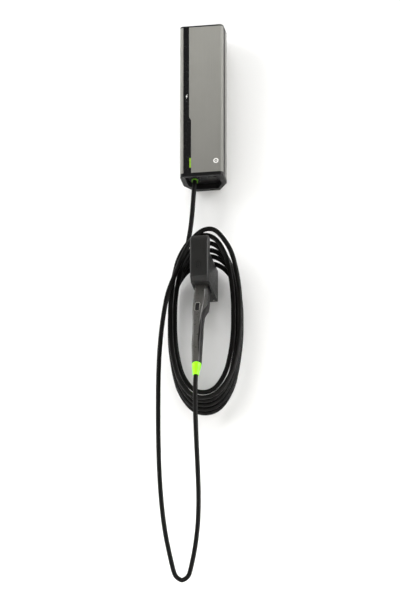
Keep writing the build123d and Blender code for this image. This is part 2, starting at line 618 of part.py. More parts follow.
def holster_socket():
    """Collar and barrel that take the handle top, nose and latch, trimmed to the holster."""
    turn = Rot(0, 0, PLUG_TURN)
    socket = rounded_block(50.4, 70.4, 13.7, 1.2, 31.2)
    socket += rod_z(0, 0, 20, 91, 24.0)
    socket += turn * box(-10, 10, -38, -10, 24, 91)
    socket -= rod_z(0, 0, 10, 87, NOSE_R + 0.8)
    socket -= turn * box(-6.8, 6.8, -34.5, 0, 10, 87)
    socket -= rounded_block(45, 66, 11.5, 0, 28.2)
    socket = socket & box(-60, 60, -60, 60, 1.2, 91)
    socket = (HOLSTER_LOC * socket) & box(HOL_X0 + 3.05, HOL_X1 - 3.05, -HOL_LIP_Y + 3.35, -2.6,
                                          HOL_Z0 - 5, HOL_ZARM - 3.05)
    return largest(socket)


# ---------------- connector, in the plug frame ----------------
def section(below, width, depth, forward, narrowing, inset=0.0):
    """Rounded cross-section, narrower towards the front."""
    half_w, half_d = width / 2 - inset, depth / 2 - inset
    pts = []
    count = 20
    for i in range(count):
        angle = 2 * math.pi * (i + 0.5) / count
        cosine, sine = math.cos(angle), math.sin(angle)
        y = half_d * math.copysign(abs(sine) ** 0.72, sine)
        x = half_w * math.copysign(abs(cosine) ** 0.72, cosine)
        x *= 1 - narrowing * (1 - y / half_d) / 2
        pts.append((x, y - forward, -below))
    return make_face(Spline(*pts, periodic=True))


@cache
def handle_shell():
    outer = loft([section(*station) for station in HANDLE_STATIONS])
    inner = [(CAVITY_TOP, *HANDLE_STATIONS[0][1:]), *HANDLE_STATIONS[1:-1], CAVITY_END]
    cavity = loft([section(*station, inset=3.0) for station in inner])
    # the cavity leaves the pivot bosses, the screw posts and the spring seat standing
    for side in (-1, 1):
        cavity -= rod_x(LATCH_Y, LATCH_Z, side * 7.0, side * 26.0, 3.6)
    for x, z, post_y, _ in HANDLE_SCREWS:
        cavity -= rod_y(x, z, post_y, 60, 3.3)
    cavity -= box(-26, 26, -12.5, -9.5, BUTTON_Z - 4, BUTTON_Z + 4)
    shell = outer - cavity
    shell -= rod_z(0, 0, 19, 29, 15.0)           # opening for the nose spigot
    shell -= rod_z(0, 0, -286, -274, 11.05)      # opening for the boot spigot
    return shell


def handle_front():
    half = handle_shell() & prism_x(HANDLE_SPLIT, -40, 40)
    half -= box(-6.6, 6.6, -50, -21.4, 5, 40)
    half -= box(-8.6, 8.6, -50, -26, BUTTON_Z - 17, BUTTON_Z + 17)
    half -= box(-6.8, 6.8, -27.4, -20, -46, 8)
    half -= rod_x(LATCH_Y, LATCH_Z, -14, 14, 1.5)
    for x, z, _, head_y in HANDLE_SCREWS:
        half -= rod_y(x, z, head_y - 13, head_y, 1.3)
    return largest(half)


def handle_rear():
    half = handle_shell() - prism_x(HANDLE_SPLIT, -40, 40)
    for x, z, _, head_y in HANDLE_SCREWS:
        half -= rod_y(x, z, -40, 60, 1.3)
        half -= rod_y(x, z, head_y, 60, 2.4)
    return largest(half)


def handle_screws():
    return group([rod_y(x, z, head_y - 12, head_y, 1.25) + rod_y(x, z, head_y, head_y + 2, 2.3)
                  for x, z, _, head_y in HANDLE_SCREWS])


def nose_shell():
    nose = rod_z(0, 0, 27.5, 74, NOSE_R)
    nose = fillet(nose.edges().sort_by(Axis.Z)[-1], 1.5)
    nose += rod_z(0, 0, 18, 28, 14.9)
    nose -= rod_z(0, 0, 36, 80, 17.0)
    nose -= rod_z(0, 0, 15, 45, 10.0)
    return nose


def nose_seal():
    seal = rod_z(0, 0, 26, 27.5, 19.0) - rod_z(0, 0, 25.25, 28.25, 15.0)
    return seal - box(-7, 7, -30, -13, 20, 30)


def pin_carrier():
    carrier = rod_z(0, 0, 36, 58, 16.9)
    for x, y, r in PINS:
        carrier += rod_z(x, y, 57, 67, r + 1.6)
    for x, y, r in PINS:
        carrier -= rod_z(x, y, 35, 69, r)
    return carrier


def contact_pins():
    return group([rod_z(x, y, 36.6, 62, r - 0.05) - rod_z(x, y, 46, 66, r - 0.8)
                  for x, y, r in PINS])


def latch_lever():
    lever = box(-5, 5, -24.2, -21.8, -106, 62) + box(-5, 5, -26.2, -21.8, 55, 62)
    lever += rod_x(LATCH_Y, LATCH_Z, -6.4, 6.4, 3.2)
    lever -= rod_x(LATCH_Y, LATCH_Z, -20, 20, 1.56)
    return lever


def latch_pin():
    return rod_x(LATCH_Y, LATCH_Z, -13.9, 13.9, 1.49)


def button_block(width, height, radius, forward, thickness):
    """Rounded block at the thumb button, growing to the front from y = -forward."""
    face = Plane.XZ.offset(forward) * Pos(0, BUTTON_Z) * RectangleRounded(width, height, radius)
    return extrude(face, thickness)


def thumb_button():
    button = button_block(10, 20, 2, 24.2, 7.0)
    button += button_block(14.0, 29.0, 4.0, 31.2, 5.6)
    button = fillet(button.faces().sort_by(Axis.Y)[0].edges(), 1.2)
    for k in range(4):
        z = BUTTON_Z - 7.6 + k * 4.4
        button -= box(-5, 5, -38, -36.2, z, z + 1.8)
    return button


def button_bezel():
    bezel = button_block(17.0, 33.6, 5.5, 27.5, 10.2)
    bezel = fillet(bezel.faces().sort_by(Axis.Y)[0].edges(), 0.8)
    bezel -= button_block(15.0, 31.2, 4.5, 20, 25)
    return bezel & box(-20, 20, -60, -27.5, -200, 0)


def latch_spring():
    line = Helix(pitch=2.3, height=8.0, radius=2.6)
    spring = sweep(Plane(origin=line @ 0, z_dir=line % 0) * Circle(0.45), path=line)
    return Pos(0, -13.2, BUTTON_Z) * Rot(90, 0, 0) * spring


def cable_clamp():
    return rod_z(0, 0, -272, -260, 9.3) - rod_z(0, 0, -276, -256, CABLE_HOLE_R)


def cable_boot():
    """Spigot inside the handle, then a sleeve that tapers down the cable."""
    bore_r = CABLE_R + 0.12
    profile = [(bore_r, -275.5), (11.0, -275.5), (11.0, -283.1), (14.6, -283.1),
               (14.2, -289), (9.6, -324), (9.0, -326), (bore_r, -326)]    # radius, z
    return revolve(make_face(Polyline(*[(r, 0, z) for r, z in profile], close=True)), Axis.Z)


WALL_FRAME_PARTS = [
    rear_housing, middle_band, front_cover, emblem, window_strip, charge_icon, light_sensor,
    status_light, cover_gasket, top_cap, bottom_cap, cap_screws, gland_body, gland_ring,
    gland_locknut, supply_plug, lock_barrel, lock_cam, din_rail, rail_screws, contactor,
    rcbo_body, rcbo_toggle, toggle_pin, terminal_block, power_supply, controller_board,
    board_standoffs, board_components, led_board, charging_cable, cable_leg, load_wires,
    holster_body, holster_plate, holster_screws, holster_socket]
PLUG_FRAME_PARTS = [
    handle_front, handle_rear, handle_screws, nose_shell, nose_seal, pin_carrier, contact_pins,
    latch_lever, latch_pin, thumb_button, button_bezel, latch_spring, cable_clamp, cable_boot]

os.makedirs("parts", exist_ok=True)
for build in WALL_FRAME_PARTS:
    export_step(build(), f"parts/{build.__name__}.step")
for build in PLUG_FRAME_PARTS:
    export_step(PLUG_LOC * build(), f"parts/{build.__name__}.step")
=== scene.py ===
"""Wall-mounted car charger: a flat unit with its cable coiled round it and the plug in its holster.

The wall is the plane y = 0, -Y points out into the room, +X is to the right seen from
the room and +Z is up. CAD nodes, materials, stage, lights and camera are in metres;
the cable and the plug are worked out in millimetres and turned into metres as meshes.
"""
import bpy, bmesh, math, json
import numpy as np
from mathutils import Vector, Matrix


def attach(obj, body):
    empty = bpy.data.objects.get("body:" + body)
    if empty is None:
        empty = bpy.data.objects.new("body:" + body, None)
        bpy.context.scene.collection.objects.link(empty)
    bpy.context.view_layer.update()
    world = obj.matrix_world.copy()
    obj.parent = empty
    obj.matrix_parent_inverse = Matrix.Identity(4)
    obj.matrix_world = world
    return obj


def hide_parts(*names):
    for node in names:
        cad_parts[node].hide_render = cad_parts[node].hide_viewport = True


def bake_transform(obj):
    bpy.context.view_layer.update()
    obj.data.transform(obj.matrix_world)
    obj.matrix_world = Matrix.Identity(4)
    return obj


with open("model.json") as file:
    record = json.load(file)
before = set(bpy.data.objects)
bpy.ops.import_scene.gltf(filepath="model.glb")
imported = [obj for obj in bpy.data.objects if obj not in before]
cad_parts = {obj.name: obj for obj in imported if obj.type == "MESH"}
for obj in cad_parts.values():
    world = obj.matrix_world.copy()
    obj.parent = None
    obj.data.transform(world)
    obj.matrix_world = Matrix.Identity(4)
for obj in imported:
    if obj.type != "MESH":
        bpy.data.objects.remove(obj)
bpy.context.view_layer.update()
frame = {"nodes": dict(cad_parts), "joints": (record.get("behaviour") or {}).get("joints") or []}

ROOT, CONNECTOR = "wall_unit", "connector"
NODES = frame["nodes"]
JOINT_AXES = {joint["name"]: Vector(joint["axis"]).normalized() for joint in frame["joints"]
              if joint["name"] in ("plug_withdraw", "latch_press")}


# ------------------------------------------------------------------ object helpers
def add_object(name, data):
    obj = bpy.data.objects.new(name, data)
    bpy.context.scene.collection.objects.link(obj)
    return obj


def smooth_faces(mesh):
    for face in mesh.polygons:
        face.use_smooth = True


def add_mesh(name, vertices, faces, smooth=True):
    mesh = bpy.data.meshes.new(name)
    mesh.from_pydata([tuple(v) for v in vertices], [], faces)
    mesh.update()
    obj = add_object(name, mesh)
    if smooth:
        smooth_faces(mesh)
    return obj


def apply_modifiers(obj):
    bpy.context.view_layer.update()
    evaluated = obj.evaluated_get(bpy.context.evaluated_depsgraph_get())
    mesh = bpy.data.meshes.new_from_object(evaluated)
    obj.modifiers.clear()
    old = obj.data
    obj.data = mesh
    bpy.data.meshes.remove(old)


def align_normals(obj):
    bm = bmesh.new()
    bm.from_mesh(obj.data)
    bmesh.ops.recalc_face_normals(bm, faces=bm.faces)
    bm.to_mesh(obj.data)
    bm.free()


def grid_faces(rows, columns, closed):
    """Quads between successive rows of points; closed joins the last column to the first."""
    return [(i * columns + k, i * columns + (k + 1) % columns,
             (i + 1) * columns + (k + 1) % columns, (i + 1) * columns + k)
            for i in range(rows - 1) for k in range(columns if closed else columns - 1)]


def stand_in(node):
    """Hides the CAD node whose place another object takes."""
    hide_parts(node)


# ------------------------------------------------------------------ material builder
def rgb(hex_code):
    """Linear RGBA of a "#rrggbb" sRGB colour."""
    def linear(channel):
        c = channel / 255.0
        return c / 12.92 if c <= 0.04045 else ((c + 0.055) / 1.055) ** 2.4

    return tuple(linear(int(hex_code[i:i + 2], 16)) for i in (1, 3, 5)) + (1.0,)


def shade(colour, factor, lift=0.0):
    return tuple(min(1.0, c * factor + lift) for c in colour[:3]) + (1.0,)


def add_node(tree, kind, inputs, **properties):
    """New shader node; an input given as a socket is linked, any other is set."""
    node = tree.nodes.new(kind)
    for key, value in properties.items():
        setattr(node, key, value)
    for key, value in inputs.items():
        if isinstance(value, bpy.types.NodeSocket):
            tree.links.new(value, node.inputs[key])
        else:
            node.inputs[key].default_value = value
    return node


SURFACES = {}           # every Surface made, by material name


class Surface:
    """Principled material built up in layers of colour, roughness and relief.

    Colours are hex codes or linear RGBA. Every layer returns the Surface, for chaining.
    """

    def __init__(self, name, colour, roughness, metallic=0.0, specular=0.5, coat=0.0):
        self.material = bpy.data.materials.new(name)
        self.material.use_nodes = True
        self.tree = self.material.node_tree
        self.shader = self.tree.nodes["Principled BSDF"]
        for key, value in (("Metallic", metallic), ("Specular IOR Level", specular),
                           ("Coat Weight", coat), ("Coat Roughness", 0.12)):
            self.shader.inputs[key].default_value = value
        self.position = self.node("ShaderNodeTexCoord").outputs["Object"]
        self.colour = self.constant("ShaderNodeRGB", self.rgba(colour))
        self.roughness = self.constant("ShaderNodeValue", roughness)
        self.height = None
        SURFACES[name] = self

    # -- single nodes
    def rgba(self, colour):
        return rgb(colour) if isinstance(colour, str) else colour

    def node(self, kind, inputs={}, **properties):
        return add_node(self.tree, kind, inputs, **properties)

    def constant(self, kind, value):
        output = self.node(kind).outputs[0]
        output.default_value = value
        return output

    def mapping(self, scale=(1, 1, 1), location=(0, 0, 0), rotation=(0, 0, 0)):
        return self.node("ShaderNodeMapping", {
            "Scale": scale, "Location": location, "Rotation": rotation,
            "Vector": self.position}).outputs[0]

    def noise(self, scale, detail=3.0, stretch=(1, 1, 1), seed=0.0):
        vector = self.mapping(scale=stretch, location=(seed, seed * 1.7, seed * 0.3))
        return self.node("ShaderNodeTexNoise", {
            "Scale": scale, "Detail": detail, "Roughness": 0.55,
            "Vector": vector}).outputs["Fac"]

    def cells(self, scale):
        return self.node("ShaderNodeTexVoronoi", {
            "Scale": scale, "Vector": self.mapping()}).outputs["Distance"]

    def ramp(self, value, low, high, start=0.0, end=1.0):
        """Start to end while value goes from low to high."""
        return self.node("ShaderNodeMapRange", {
            "From Min": low, "From Max": high, "To Min": start, "To Max": end,
            "Value": value}, clamp=True).outputs["Result"]

    def math(self, operation, a, b):
        return self.node("ShaderNodeMath", {0: a, 1: b}, operation=operation).outputs[0]

    def axis(self, vector, letter):
        return self.node("ShaderNodeSeparateXYZ", {0: vector}).outputs[letter]

    # -- layers
    def tint(self, factor, colour):
        self.colour = self.node("ShaderNodeMix", {
            "Factor": factor, "A": self.colour, "B": self.rgba(colour)},
            data_type="RGBA").outputs["Result"]
        return self

    def mottle(self, scale, amount, colour, detail=3.0, stretch=(1, 1, 1), seed=1.3):
        patches = self.noise(scale, detail, stretch, seed)
        return self.tint(self.ramp(patches, 0.35, 0.7, 0.0, amount), colour)

    def vary_gloss(self, scale, amount, detail=3.0, stretch=(1, 1, 1)):
        patches = self.noise(scale, detail, stretch, seed=4.1)
        change = self.ramp(patches, 0.3, 0.7, -amount, amount)
        self.roughness = self.math("ADD", self.roughness, change)
        return self

    def relief(self, pattern, depth):
        layer = self.math("MULTIPLY", pattern, depth)
        self.height = layer if self.height is None else self.math("ADD", self.height, layer)
        return self

    def grain(self, scale, depth, detail=2.0, stretch=(1, 1, 1), seed=0.0):
        return self.relief(self.noise(scale, detail, stretch, seed), depth)

    def wear(self, radius, amount, colour):
        """Patchy colour along the edges, where a bevelled normal leaves the true one."""
        bevel = self.node("ShaderNodeBevel", {"Radius": radius}, samples=4)
        geometry = self.node("ShaderNodeNewGeometry")
        dot = self.node("ShaderNodeVectorMath", {
            0: bevel.outputs[0], 1: geometry.outputs["Normal"]}, operation="DOT_PRODUCT")
        bend = self.math("SUBTRACT", 1.0, dot.outputs["Value"])
        edge = self.ramp(bend, 0.02, 0.25, 0.0, amount)
        patches = self.ramp(self.noise(260, 4, seed=2.2), 0.42, 0.62, 0.15, 1.0)
        return self.tint(self.math("MULTIPLY", edge, patches), colour)

    def dust(self, amount, colour):
        """Patchy colour on faces that look up."""
        geometry = self.node("ShaderNodeNewGeometry")
        level = self.ramp(self.axis(geometry.outputs["Normal"], "Z"), 0.2, 1.0, 0.0, amount)
        patches = self.ramp(self.noise(90, 5, seed=7.0), 0.3, 0.7, 0.2, 1.0)
        return self.tint(self.math("MULTIPLY", level, patches), colour)

    def glow(self, strength, colour):
        self.shader.inputs["Emission Color"].default_value = rgb(colour)
        self.shader.inputs["Emission Strength"].default_value = strength
        return self

    def connect(self, output, name):
        self.tree.links.new(output, self.shader.inputs[name])

    def finish(self):
        """Feeds the layers into the shader."""
        self.connect(self.colour, "Base Color")
        clamp = self.node("ShaderNodeClamp", {"Value": self.roughness, "Min": 0.05})
        self.connect(clamp.outputs[0], "Roughness")
        bump = self.node("ShaderNodeBump", {
            "Strength": 1.0, "Distance": 1.0, "Height": self.height})
        self.connect(bump.outputs[0], "Normal")


# ------------------------------------------------------------------ brushed aluminium
BRUSH_STRETCH = (900.0, 900.0, 9.0)     # noise scale along X, Y, Z: strokes run upright
BRUSH_DEPTH = 0.000012


def brushed(name, colour, painted_light_top_colour, roughness, metallic, streaks):
    """Brushed metal lightened towards the top as painted light: its colour goes over to the lighter
    top colour between z = -0.25 and 0.25.
    """
    base = rgb(colour)
    dark, wide = shade(base, 0.72), tuple(c * 0.35 for c in BRUSH_STRETCH)
    metal = Surface(name, base, roughness, metallic)
    # painted light: lighter towards the top, as if lit from above
    metal.tint(metal.ramp(metal.axis(metal.position, "Z"), -0.25, 0.25), painted_light_top_colour)
    metal.mottle(scale=1.0, amount=streaks, colour=dark, detail=5, stretch=BRUSH_STRETCH)
    metal.mottle(scale=1.0, amount=streaks * 0.6, colour=shade(base, 1.25), detail=2,
                 stretch=wide, seed=9.0)
    metal.mottle(scale=14, amount=0.10, colour=dark, detail=4)
    metal.vary_gloss(scale=1.0, amount=0.10, stretch=BRUSH_STRETCH)
    metal.grain(scale=1.0, depth=BRUSH_DEPTH, detail=4.0, stretch=BRUSH_STRETCH, seed=3.0)
    metal.grain(scale=3200, depth=BRUSH_DEPTH * 0.8)
    metal.wear(radius=0.0008, amount=0.4, colour=shade(base, 1.6))
    metal.finish()


brushed("panel_aluminium", "#7b7a75", painted_light_top_colour="#96958f", roughness=0.44, metallic=0.2,
        streaks=0.10)
brushed("housing_aluminium", "#8d8c89", painted_light_top_colour="#a09f9b", roughness=0.42, metallic=0.3,
        streaks=0.14)


# ------------------------------------------------------------------ moulded plastics
def moulded(name, colour, roughness, grain=2600.0, depth=0.00006, coarse=None, specular=0.28):
    """Plastic with fine grain of the given scale and depth over a coarse unevenness."""
    base = rgb(colour)
    light = shade(base, 1.7, lift=0.006)
    plastic = Surface(name, base, roughness, specular=specular)
    plastic.mottle(scale=35, amount=0.22, colour=shade(base, 0.75))
    plastic.mottle(scale=420, amount=0.18, colour=light, detail=5)
    plastic.vary_gloss(scale=120, amount=0.07)
    plastic.grain(scale=grain, depth=depth)
    plastic.grain(scale=90, depth=coarse or depth * 2.2, seed=5.5)
    plastic.wear(radius=0.0009, amount=0.35, colour=light)
    plastic.dust(amount=0.05, colour="#6d6a64")
    plastic.finish()


# name, colour, roughness, what else differs from plain plastic
MOULDED = (
    ("band_plastic", "#1f1e1c", 0.5, {}),
    ("cap_plastic", "#0d0d0d", 0.45, {}),
    ("holster_plastic", "#1d1d1c", 0.42, dict(grain=2200, depth=0.00007, coarse=0.00015)),
    ("socket_plastic", "#0d0d0d", 0.5, {}),
    ("handle_grey_plastic", "#403f3c", 0.32, dict(grain=1800, depth=0.000012, specular=0.58)),
    ("handle_dark_soft", "#151413", 0.42, dict(grain=1500, depth=0.00004)),
    ("button_rubber", "#121212", 0.55, dict(grain=1400, depth=0.0001)),
    ("bezel_plastic", "#9b9994", 0.34, {}),
    ("nose_plastic", "#0f0f0f", 0.4, {}),
    ("dark_parts", "#1f1e1d", 0.5, {}),
    ("switchgear_grey", "#b9b9b4", 0.5, {}),
    ("toggle_blue", "#24457f", 0.35, {}),
    ("nylon_white", "#dcdad2", 0.5, {}),
    ("component_black", "#1b1b1c", 0.45, {}),
    ("seal_rubber", "#141414", 0.7, {}),
    ("powder_coat", "#1a1a1b", 0.5, dict(grain=900, depth=0.0001)),
)
for name, colour, roughness, others in MOULDED:
    moulded(name, colour, roughness, **others)

# painted shade: the holster's sunk pictogram is darkened to near black
PICTOGRAM_CENTRE = (0.001, -0.186, -0.602)
PICTOGRAM_RADIUS, PICTOGRAM_FADE = 0.0138, 0.0006
PICTOGRAM_SHADE_Y = (-0.1868, -0.1864)        # the darkening sets in between these depths


def paint_pictogram_shade(plastic):
    """Paints shade into the sunk pictogram: near its centre and behind the holster's skin."""
    y = plastic.axis(plastic.position, "Y")
    distance = plastic.node("ShaderNodeVectorMath", {
        0: plastic.position, 1: PICTOGRAM_CENTRE}, operation="DISTANCE").outputs["Value"]
    behind = plastic.ramp(y, *PICTOGRAM_SHADE_Y)
    inside = plastic.ramp(distance, PICTOGRAM_RADIUS, PICTOGRAM_RADIUS + PICTOGRAM_FADE,
                          1.0, 0.0)
    # painted shade in the pictogram's recess
    plastic.tint(plastic.math("MULTIPLY", behind, inside), "#010101")
    plastic.connect(plastic.colour, "Base Color")


paint_pictogram_shade(SURFACES["holster_plastic"])

# ------------------------------------------------------------------ window, print and lamps
(Surface("window_gloss", "#141414", roughness=0.24, specular=0.4, coat=0.15)
 .mottle(scale=25, amount=0.3, colour="#1c1b1b")
 .vary_gloss(scale=60, amount=0.08)
 .grain(scale=700, depth=0.000006, detail=3)
 .wear(radius=0.0006, amount=0.35, colour="#6a6a68")
 .finish())

(Surface("print_white", "#e9e8e4", roughness=0.42)
 .mottle(scale=300, amount=0.18, colour="#cfcdc6")
 .vary_gloss(scale=300, amount=0.1)
 .grain(scale=1800, depth=0.00002)
 # painted light: the white print glows faintly, though it is no lamp
 .glow(strength=0.04, colour="#e9e8e4")
 .finish())

(Surface("sensor_smoke", "#4a4a4c", roughness=0.12, specular=0.6, coat=0.6)
 .mottle(scale=300, amount=0.3, colour="#26262a")
 .vary_gloss(scale=200, amount=0.05)
 .grain(scale=900, depth=0.00001)
 .finish())

(Surface("status_green", "#6f9424", roughness=0.3, coat=0.3)
 .mottle(scale=140, amount=0.45, colour="#9cc63a", stretch=(1, 1, 0.25))
 .vary_gloss(scale=200, amount=0.06)
 .grain(scale=600, depth=0.00001)
 .glow(strength=0.05, colour="#7fae22")
 .finish())

# ------------------------------------------------------------------ lime parts and cable
(Surface("lime_soft", "#8df503", roughness=0.40, specular=0.45)
 .mottle(scale=60, amount=0.35, colour="#74d400")
 .mottle(scale=500, amount=0.2, colour="#b6ff28", detail=4)
 .vary_gloss(scale=150, amount=0.08)
 .grain(scale=1600, depth=0.00005)
 # painted light: the lime boot glows so it looks brightly lit, though it is no lamp
 .glow(strength=0.22, colour="#90ff05")
 .wear(radius=0.0008, amount=0.3, colour="#c8ff5a")
 .finish())

(Surface("lime_deep", "#4f8a05", roughness=0.42, specular=0.4)
 .mottle(scale=200, amount=0.3, colour="#3f7204")
 .vary_gloss(scale=150, amount=0.08)
 .grain(scale=1600, depth=0.00004)
 .wear(radius=0.0006, amount=0.3, colour="#8fcf2a")
 .finish())

(Surface("cable_jacket", "#070706", roughness=0.48, specular=0.14)
 .mottle(scale=18, amount=0.5, colour="#0e0d0c", detail=4)
 .mottle(scale=700, amount=0.15, colour="#1c1a18", detail=5)
 .mottle(scale=55, amount=0.14, colour="#171513", detail=6, seed=8.0)
 .vary_gloss(scale=40, amount=0.09, detail=5)
 .grain(scale=1900, depth=0.00006, detail=3)
 .grain(scale=160, depth=0.00012)
 .dust(amount=0.06, colour="#57534c")
 .finish())

# ------------------------------------------------------------------ metals and circuit board
(Surface("steel_fastener", "#b9b8b4", roughness=0.3, metallic=1.0)
 .mottle(scale=300, amount=0.35, colour="#7d7c78", detail=5)
 .vary_gloss(scale=400, amount=0.12)
 .grain(scale=1500, depth=0.00003, detail=4)
 .wear(radius=0.0005, amount=0.5, colour="#ffffff")
 .finish())

(Surface("blackened_fastener", "#3a3938", roughness=0.4, metallic=0.8)
 .mottle(scale=300, amount=0.35, colour="#222221", detail=5)
 .vary_gloss(scale=400, amount=0.1)
 .grain(scale=1500, depth=0.00003, detail=4)
 .wear(radius=0.0004, amount=0.4, colour="#9a9995")
 .finish())

zinc = Surface("zinc_plate", "#a9aaa6", roughness=0.36, metallic=1.0)
zinc.tint(zinc.ramp(zinc.cells(scale=300), 0.1, 0.8, 0.0, 0.35), "#7f827f")
zinc.vary_gloss(scale=250, amount=0.12)
zinc.relief(zinc.cells(scale=300), depth=0.00003)
zinc.wear(radius=0.0006, amount=0.5, colour="#e8e8e8")
zinc.finish()

(Surface("contact_brass", "#c9a765", roughness=0.25, metallic=1.0)
 .mottle(scale=200, amount=0.4, colour="#8f7238")
 .vary_gloss(scale=300, amount=0.1)
 .grain(scale=1200, depth=0.00003, detail=3)
 .finish())

board = Surface("circuit_green", "#0f4a26", roughness=0.35, coat=0.3)
tracks = board.node("ShaderNodeTexBrick", {      # turned to lie in the boards' XZ plane
    "Vector": board.mapping(rotation=(math.radians(90), 0, 0)),
    "Scale": 160, "Mortar Size": 0.04}).outputs["Fac"]
board.tint(board.ramp(tracks, 0, 1, 0, 0.5), "#2c7a45")
board.vary_gloss(scale=200, amount=0.08)
board.relief(tracks, depth=0.00003)
board.finish()

# ------------------------------------------------------------------ materials on the CAD nodes
MATERIAL_NODES = {
    "panel_aluminium": "front_cover",
    "housing_aluminium": "rear_housing",
    "band_plastic": "middle_band",
    "cap_plastic": "top_cap bottom_cap",
    "holster_plastic": "holster_body",
    "socket_plastic": "holster_socket",
    "handle_grey_plastic": "handle_front",
    "handle_dark_soft": "handle_rear",
    "button_rubber": "thumb_button",
    "bezel_plastic": "button_bezel",
    "nose_plastic": "nose_shell",
    "dark_parts": "gland_body gland_locknut supply_plug latch_lever cable_clamp",
    "switchgear_grey": "contactor rcbo_body",
    "toggle_blue": "rcbo_toggle",
    "nylon_white": "terminal_block board_standoffs pin_carrier",
    "component_black": "power_supply board_components",
    "seal_rubber": "cover_gasket nose_seal",
    "powder_coat": "holster_plate",
    "window_gloss": "window_strip",
    "print_white": "emblem charge_icon",
    "sensor_smoke": "light_sensor",
    "status_green": "status_light",
    "lime_soft": "cable_boot",
    "lime_deep": "gland_ring",
    "cable_jacket": "load_wires charging_cable cable_leg",
    "steel_fastener": "lock_barrel holster_screws",
    "blackened_fastener": "cap_screws",
    "zinc_plate": "lock_cam din_rail rail_screws toggle_pin handle_screws latch_pin"
                  " latch_spring",
    "contact_brass": "contact_pins",
    "circuit_green": "controller_board led_board",
}
NODE_MATERIAL = {node: SURFACES[name].material
                 for name, nodes in MATERIAL_NODES.items() for node in nodes.split()}
for node, obj in NODES.items():
    obj.data.materials.clear()
    obj.data.materials.append(NODE_MATERIAL[node])


# ------------------------------------------------------------------ rounded corners
def fillet(before, corner, after, radius, share_before, share_after):
    """Arc (start, centre, end, radius, turn) rounding a corner; None where it is straight.

    The arc takes up no more than the given shares of the two sides.
    """
    side_0, side_1 = before - corner, after - corner
    length_0, length_1 = np.linalg.norm(side_0), np.linalg.norm(side_1)
    to_0, to_1 = side_0 / length_0, side_1 / length_1
    angle = math.acos(max(-1.0, min(1.0, float(to_0 @ to_1))))
    if math.pi - angle < 1e-3:
        return None
    tangent = min(radius / math.tan(angle / 2), length_0 * share_before,
                  length_1 * share_after)
    bisector = (to_0 + to_1) / np.linalg.norm(to_0 + to_1)
    centre = corner + bisector * tangent / math.cos(angle / 2)
    return (corner + to_0 * tangent, centre, corner + to_1 * tangent,
            tangent * math.tan(angle / 2), math.pi - angle)


def arc_points(arc, steps):
    start, centre, end, radius, turn = arc
    u, w = (start - centre) / radius, (end - centre) / radius
    v = w - u * (u @ w)
    v /= np.linalg.norm(v)
    angles = [turn * k / steps for k in range(steps + 1)]
    return [centre + radius * (u * math.cos(a) + v * math.sin(a)) for a in angles]


# ------------------------------------------------------------------ plug frame
# local +Z runs up the plug's axis, local -Y is its front, the origin is its mouth
PLUG_UP = -JOINT_AXES["plug_withdraw"]
PLUG_X = JOINT_AXES["latch_press"]
PLUG_BACK = PLUG_UP.cross(PLUG_X).normalized()
PLUG_AXES = np.array([[PLUG_X[i], PLUG_BACK[i], PLUG_UP[i]] for i in range(3)])
PLUG_MOUTH = np.array((2.0, -110.0, -655.0))


def plug_point(x, y, z):
    return tuple(PLUG_MOUTH + PLUG_AXES @ np.array((x, y, z), float))


def plug_metres(x, y, z):
    return np.array(plug_point(x, y, z)) / 1000


# ------------------------------------------------------------------ cable course
CABLE_RADIUS = 7.5
CABLE_SIDES = 22
CABLE_STEP = 5.0                # spacing of the rings along the cable
GLAND = (-28.0, -80.0, -264.0)
GLAND_TILT = math.radians(30.0)     # from straight down towards the room


def gland_point(distance):
    """Point on the gland's axis, at a distance out of the gland."""
    axis = (0.0, -math.sin(GLAND_TILT), -math.cos(GLAND_TILT))
    return tuple(GLAND[i] + axis[i] * distance for i in range(3))


FEED = [        # corner points from the gland to the first turn
    gland_point(-30), gland_point(7), gland_point(24),
    (-32.0, -82.0, -316.0), (-38.0, -66.0, -358.0), (-46.0, -49.0, -405.0),
    (-57.5, -34.0, -457.0), (-77.0, -23.0, -522.0), (-97.5, -16.5, -598.0)]

COIL_MIDDLE_X, COIL_MIDDLE_Z = 3.0, -745.0
COIL_START_Y = -18.5
COIL_PITCH = 15.6               # how far each turn comes forward
COIL_POWER = 2.25               # superellipse exponent of a turn
COIL_TURNS = [
    # left x, bottom z, right x, top z
    (-118.0, -1047.0, 110.5, -533.0),
    (-116.0, -1040.0, 114.5, -515.0),
    (-106.0, -1032.0, 112.0, -500.0),
    (-98.0, -1024.5, 108.0, -482.0),
    (-92.5, -1001.9, 97.0, -461.0),
    (-104.5, -1025.5, 121.5, -446.0),
]

HANGING = [     # from the last turn down the left to the low bend
    (3.0, -109.0, -446.5), (-32.3, -110.5, -478.5), (-63.7, -112.5, -537.4),
    (-86.7, -113.8, -602.1), (-109.0, -114.0, -655.0), (-121.5, -113.5, -720.0),
    (-131.0, -112.5, -790.0), (-137.6, -112.0, -870.0), (-140.8, -112.0, -970.0),
    (-140.9, -112.0, -1130.0), (-137.6, -112.0, -1270.0), (-130.6, -112.0, -1380.0),
    (-120.0, -112.0, -1475.0), (-106.5, -112.0, -1548.0), (-94.0, -112.0, -1606.0)]
LOW_LEFT, LOW_RIGHT = (-83.0, -112.0, -1651.0), (-44.0, -113.0, -1651.0)
LOWEST = tuple((a + b) / 2 for a, b in zip(LOW_LEFT, LOW_RIGHT))
RISING = [      # from the low bend up to the plug
    (-33.0, -116.0, -1606.0), (-20.5, -121.5, -1550.0), (-9.5, -129.0, -1470.0),
    (-5.8, -137.0, -1390.0), (-7.3, -145.0, -1300.0), (-10.3, -152.0, -1210.0),
    (-13.0, -160.0, -1110.0)]
PLUG_IN, PLUG_MIDDLE, PLUG_OUT = [plug_point(0, 0, z) for z in (-262, -329, -352)]


